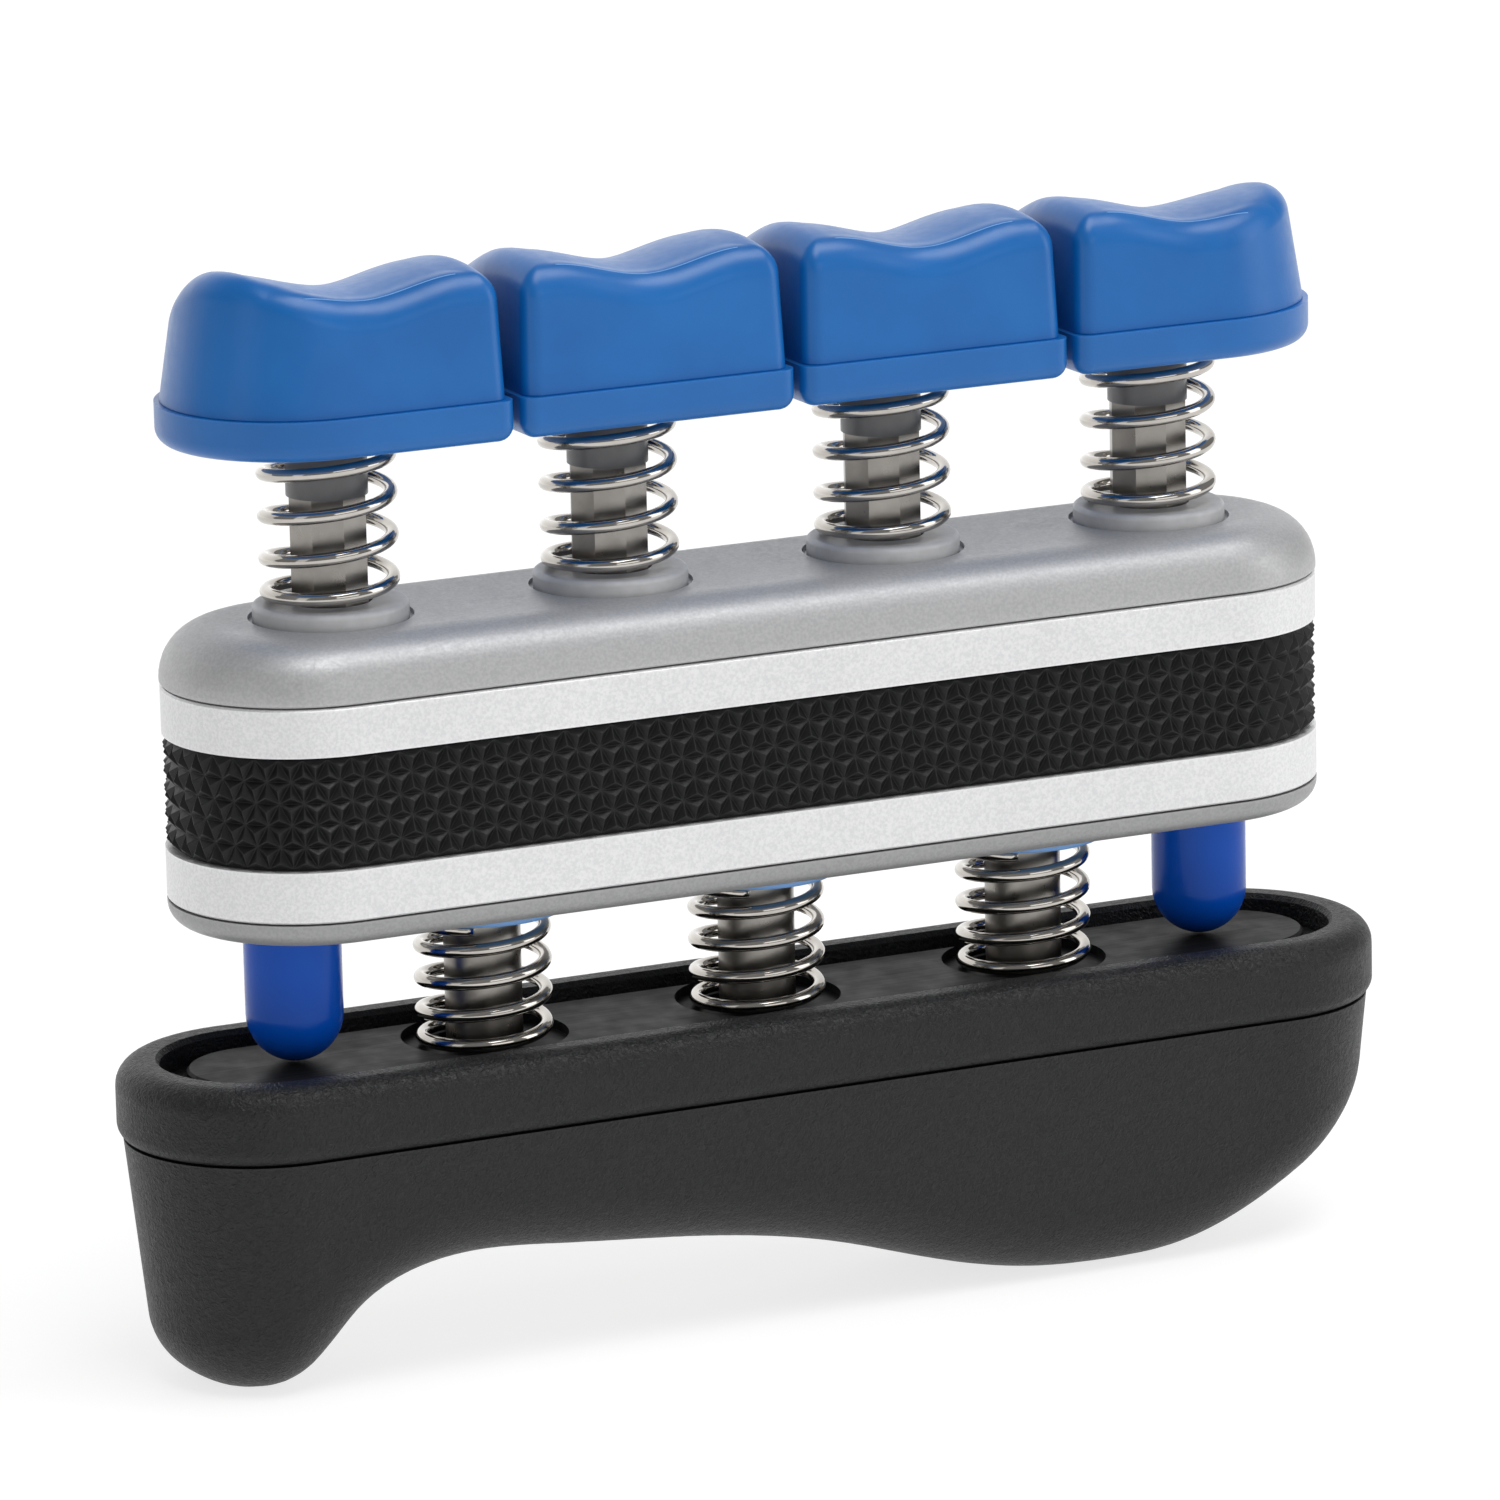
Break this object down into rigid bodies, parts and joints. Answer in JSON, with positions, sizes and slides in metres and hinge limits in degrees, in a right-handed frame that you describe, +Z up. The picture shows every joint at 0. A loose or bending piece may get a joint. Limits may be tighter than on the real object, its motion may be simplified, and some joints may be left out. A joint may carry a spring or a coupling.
{
  "type": "finger exerciser",
  "caption": "Hand-held finger exerciser: separately sprung finger buttons in a row on a slim gripped handle body, which is squeezed against a sprung palm rest with an arched underside.",
  "frame": {"origin": "on the floor, at the middle of the length and width of the object as it stands on its palm rest", "axes": "+X along the row of finger buttons, +Y across it, +Z up from the palm rest to the finger buttons"},
  "size_m": [0.1026, 0.022, 0.0833],
  "materials": {
    "palm_shell_plastic": "spark-eroded texture, satin black",
    "palm_rim_plastic": "spark-eroded texture, satin black",
    "deck_plastic": "smooth semi-gloss black",
    "screw_steel": "zinc plated",
    "clip_steel": "spring steel, oiled",
    "cover_silver": "fine matte silver",
    "bottom_silver": "fine matte silver",
    "frame_silver": "satin silver",
    "grip_rubber": "moulded black rubber with three-sided points",
    "post_steel": "drawn and polished",
    "plunger_steel": "drawn eight-sided bar",
    "spring_nickel": "bright nickel",
    "spring_steel": "spring steel",
    "cup_blue": "moulded light blue",
    "pin_blue": "glossy deep blue",
    "cap_blue": "satin mid blue",
    "base_blue": "satin mid blue",
    "sleeve_grey": "smooth grey",
    "bush_grey": "grey acetal"
  },
  "bodies": {
    "palm_rest": {"palm_shell": "palm_shell_plastic", "palm_rim": "palm_rim_plastic", "deck_plate": "deck_plastic", "deck_screws": "screw_steel", "palm_post_clips": "clip_steel", "palm_post_left": "post_steel", "palm_post_middle": "post_steel", "palm_post_right": "post_steel", "palm_spring_left": "spring_nickel", "palm_spring_middle": "spring_nickel", "palm_spring_right": "spring_nickel"},
    "chassis": {"top_cover": "cover_silver", "center_frame": "frame_silver", "grip_band": "grip_rubber", "bottom_cover": "bottom_silver", "chassis_screws": "screw_steel", "spring_cup_left": "cup_blue", "spring_cup_middle": "cup_blue", "spring_cup_right": "cup_blue", "pin_spring_left": "spring_steel", "pin_spring_right": "spring_steel", "guide_bush_1": "bush_grey", "guide_bush_2": "bush_grey", "guide_bush_3": "bush_grey", "guide_bush_4": "bush_grey", "finger_spring_1": "spring_nickel", "finger_spring_2": "spring_nickel", "finger_spring_3": "spring_nickel", "finger_spring_4": "spring_nickel"},
    "button_1": {"finger_cap_1": "cap_blue", "button_base_1": "base_blue", "plunger_post_1": "plunger_steel", "post_sleeve_1": "sleeve_grey", "post_clip_1": "clip_steel"},
    "button_2": {"finger_cap_2": "cap_blue", "button_base_2": "base_blue", "plunger_post_2": "plunger_steel", "post_sleeve_2": "sleeve_grey", "post_clip_2": "clip_steel"},
    "button_3": {"finger_cap_3": "cap_blue", "button_base_3": "base_blue", "plunger_post_3": "plunger_steel", "post_sleeve_3": "sleeve_grey", "post_clip_3": "clip_steel"},
    "button_4": {"finger_cap_4": "cap_blue", "button_base_4": "base_blue", "plunger_post_4": "plunger_steel", "post_sleeve_4": "sleeve_grey", "post_clip_4": "clip_steel"},
    "pin_left": {"end_pin_left": "pin_blue"},
    "pin_right": {"end_pin_right": "pin_blue"}
  },
  "joints": [
    {"name": "palm_squeeze", "type": "slide", "parent": "palm_rest", "child": "chassis", "axis": [0, 0, -1], "range_m": [0, 0.005], "stiffness_N_per_m": 6000, "springref_m": -0.002, "deforming": ["palm_spring_left", "palm_spring_middle", "palm_spring_right"]},
    {"name": "button_1_press", "type": "slide", "parent": "chassis", "child": "button_1", "axis": [0, 0, -1], "range_m": [0, 0.006], "stiffness_N_per_m": 2000, "springref_m": -0.002, "deforming": ["finger_spring_1"]},
    {"name": "button_2_press", "type": "slide", "parent": "chassis", "child": "button_2", "axis": [0, 0, -1], "range_m": [0, 0.006], "stiffness_N_per_m": 2000, "springref_m": -0.002, "deforming": ["finger_spring_2"]},
    {"name": "button_3_press", "type": "slide", "parent": "chassis", "child": "button_3", "axis": [0, 0, -1], "range_m": [0, 0.006], "stiffness_N_per_m": 2000, "springref_m": -0.002, "deforming": ["finger_spring_3"]},
    {"name": "button_4_press", "type": "slide", "parent": "chassis", "child": "button_4", "axis": [0, 0, -1], "range_m": [0, 0.006], "stiffness_N_per_m": 2000, "springref_m": -0.002, "deforming": ["finger_spring_4"]},
    {"name": "pin_left_slide", "type": "slide", "parent": "chassis", "child": "pin_left", "axis": [0, 0, 1], "range_m": [0, 0.005], "deforming": ["pin_spring_left"]},
    {"name": "pin_right_slide", "type": "slide", "parent": "chassis", "child": "pin_right", "axis": [0, 0, 1], "range_m": [0, 0.005], "deforming": ["pin_spring_right"]}
  ],
  "couplings": [
    {"joint": "pin_left_slide", "follows": "palm_squeeze", "ratio": 1},
    {"joint": "pin_right_slide", "follows": "palm_squeeze", "ratio": 1}
  ]
}
